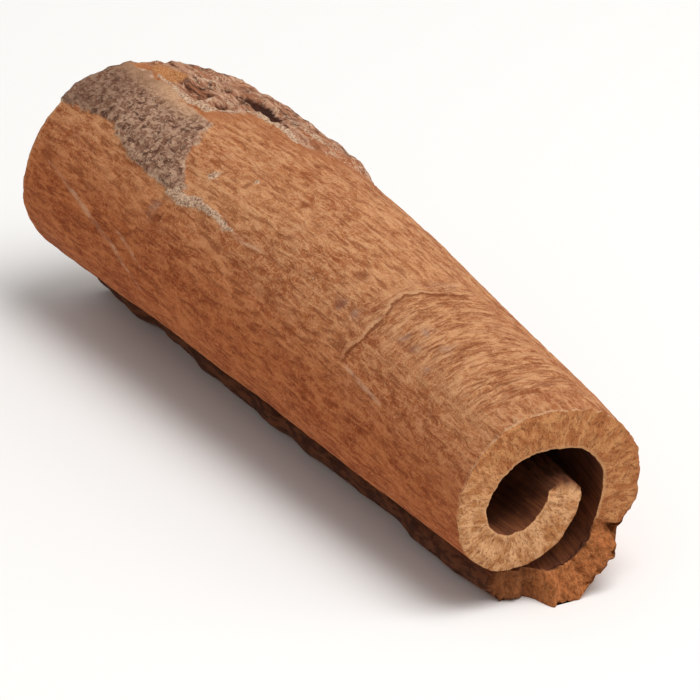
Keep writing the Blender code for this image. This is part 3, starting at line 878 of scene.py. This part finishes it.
def makeInnerBark():
    material, tree = startMaterial("inner cassia bark, peeled")
    place = addNode(tree, "ShaderNodeAttribute", attribute_name="barkPlace").outputs["Vector"]
    spread = addNode(tree, "ShaderNodeMapping", {"Scale": (1 / 0.5, 1 / 6.0, 1 / 0.5)}, {"Vector": place})
    ribs = addNode(tree, "ShaderNodeTexNoise", {"Scale": 1.0, "Detail": 4.0, "Roughness": 0.6},
                   {"Vector": spread.outputs[0]}).outputs[0]
    wide = addNode(tree, "ShaderNodeTexNoise", {"Scale": 0.22, "Detail": 3.0}, {"Vector": place}).outputs[0]
    colour = None
    for source, start, end, below, above, most in (
            (ribs, 0.36, 0.64, "inner", "innerPale", 1.0), (wide, 0.55, 0.38, None, "innerDeep", 0.6)):
        share = addNode(tree, "ShaderNodeMapRange", {"From Min": start, "From Max": end, "To Max": most},
                        {"Value": source}, interpolation_type="SMOOTHSTEP").outputs[0]
        node = addNode(tree, "ShaderNodeMixRGB", {"Color2": toLinear(innerBark[above])}, {"Fac": share})
        if below:
            node.inputs["Color1"].default_value = toLinear(innerBark[below])
        else:
            tree.links.new(colour, node.inputs["Color1"])
        colour = node.outputs[0]
    bump = addNode(tree, "ShaderNodeBump", {"Strength": 0.8, "Distance": 0.12 * mm}, {"Height": ribs})
    shader = addNode(tree, "ShaderNodeBsdfPrincipled", {"Roughness": innerBark["roughness"], "Specular IOR Level": 0.3},
                     {"Base Color": colour, "Normal": bump.outputs[0]})
    addNode(tree, "ShaderNodeOutputMaterial", {}, {"Surface": shader.outputs[0]})
    return material


view = {
    "azimuth": -28.7, "elevation": 24.1, "distance": 1.1,
    "target": (-1.7, -0.9, 10.0 - 1.0),
    "frameWidth": 61.5,                # mm across the picture at the target
}


def addCamera():
    azimuth, elevation = math.radians(view["azimuth"]), math.radians(view["elevation"])
    back = Vector((math.sin(azimuth) * math.cos(elevation), -math.cos(azimuth) * math.cos(elevation), math.sin(elevation)))
    target = Vector(view["target"]) * mm
    data = bpy.data.cameras.new("camera")
    camera = bpy.data.objects.new("camera", data)
    bpy.context.scene.collection.objects.link(camera)
    camera.location = target + back * view["distance"]
    camera.rotation_euler = back.to_track_quat("Z", "Y").to_euler()
    data.sensor_width = 36.0
    data.lens = data.sensor_width * view["distance"] / (view["frameWidth"] * mm)
    data.clip_start = 0.01
    bpy.context.scene.camera = camera


def addSoftbox(name, place, towards, size, power):
    data = bpy.data.lights.new(name, "AREA")
    data.shape = "SQUARE"
    data.size = size
    data.energy = power
    light = bpy.data.objects.new(name, data)
    bpy.context.scene.collection.objects.link(light)
    light.location = place
    light.rotation_euler = (Vector(place) - Vector(towards)).to_track_quat("Z", "Y").to_euler()


def addStudio():
    world = bpy.data.worlds.new("studio")
    world.use_nodes = True
    world.node_tree.nodes["Background"].inputs["Color"].default_value = (1.0, 1.0, 1.0, 1.0)
    world.node_tree.nodes["Background"].inputs["Strength"].default_value = 0.45
    bpy.context.scene.world = world
    addSoftbox("keyLight", (0.15, -0.22, 0.75), (0, 0, 0.01), 0.5, 5.0)
    addSoftbox("fillLight", (0.6, -0.5, 0.5), (0, 0, 0.01), 0.6, 1.5)
    bpy.ops.mesh.primitive_plane_add(size=4.0, location=(0.0, 0.0, -0.02 * mm))
    floor = bpy.context.object
    floor.name = "paleFloor"
    bpy.ops.object.transform_apply(location=True, rotation=False, scale=False)
    paper = bpy.data.materials.new("pale paper")
    paper.use_nodes = True
    paper.node_tree.nodes["Principled BSDF"].inputs["Base Color"].default_value = (0.86, 0.85, 0.83, 1.0)
    paper.node_tree.nodes["Principled BSDF"].inputs["Roughness"].default_value = 0.9
    floor.data.materials.append(paper)


quill = layFlatSheet()
bark = measureSheet(quill)
wearGroups(quill, bark)
relief = wearOuterFace(quill, bark)
rollUp(quill, bark, relief)
thinHiddenFaces(quill, bark)
layBakeMap(quill)
for index, material in enumerate((makeOuterBark(), makeInnerBark(), makeCutBark())):
    quill.data.materials[index] = material
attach(quill, "root")
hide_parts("quill")
triangles = sum(len(face.vertices) - 2 for face in quill.data.polygons)
print("quill triangles", triangles)
addCamera()
addStudio()
bpy.context.scene.view_settings.view_transform = "Standard"
